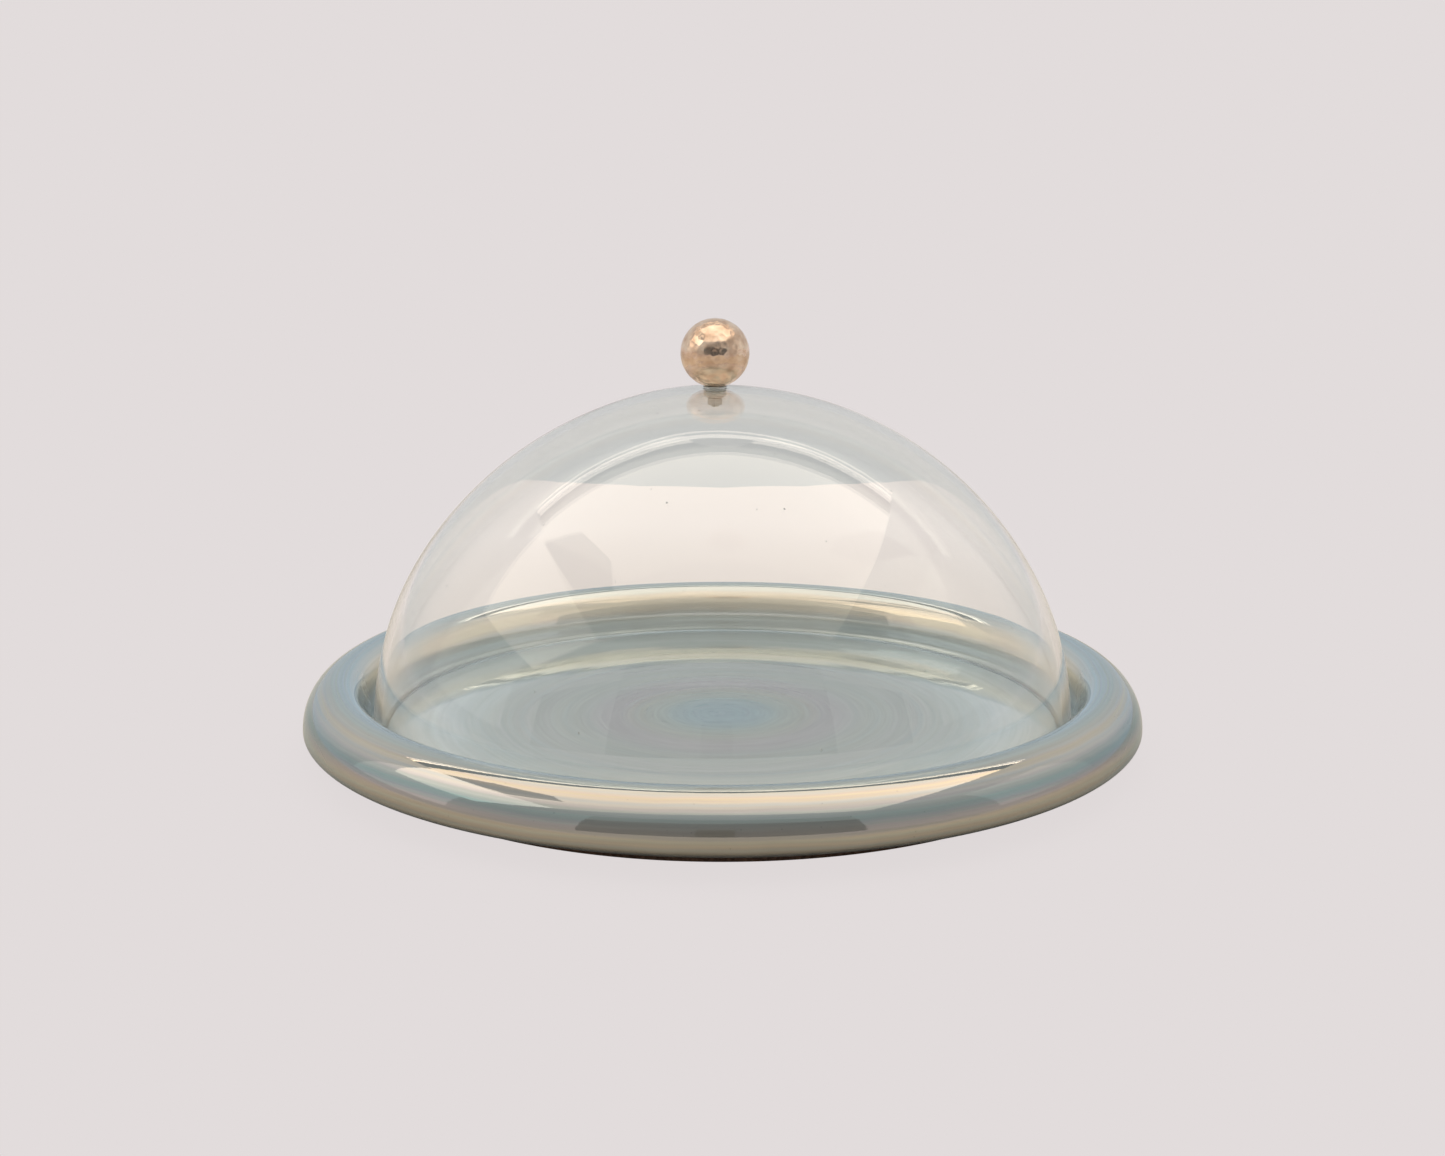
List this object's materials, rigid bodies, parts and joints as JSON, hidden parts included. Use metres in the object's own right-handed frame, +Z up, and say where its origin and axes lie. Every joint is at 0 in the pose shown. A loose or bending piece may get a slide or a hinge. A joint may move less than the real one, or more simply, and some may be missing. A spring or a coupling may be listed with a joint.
{
  "type": "bell jar dome",
  "caption": "Clear blown glass bell dome with a brass ball knob, standing inside the fat rim of a round lustre-glazed stoneware platter.",
  "frame": {"origin": "centre of the platter's foot ring, at the level of the surface that it stands on", "axes": "+Z up along the axis of the platter and the dome; the knob's hole is a little way off that axis, towards -X"},
  "size_m": [0.3304, 0.3304, 0.1681],
  "materials": {
    "stoneware": "gloss lustre glaze, bare foot ring",
    "glass": "clear, fire polished",
    "brass": "hammered and polished",
    "steel": "satin",
    "silicone": "clear, soft"
  },
  "bodies": {
    "platter": {"platter": "stoneware"},
    "dome": {"glass_dome": "glass", "ball_knob": "brass", "knob_stud": "steel", "knob_nut": "steel", "metal_washer": "steel", "seat_washer": "silicone", "hole_bush": "silicone", "soft_washer": "silicone"}
  },
  "joints": [
    {"name": "dome_lift", "type": "slide", "parent": "platter", "child": "dome", "axis": [0, 0, 1], "range_m": [0, 0.2]}
  ]
}
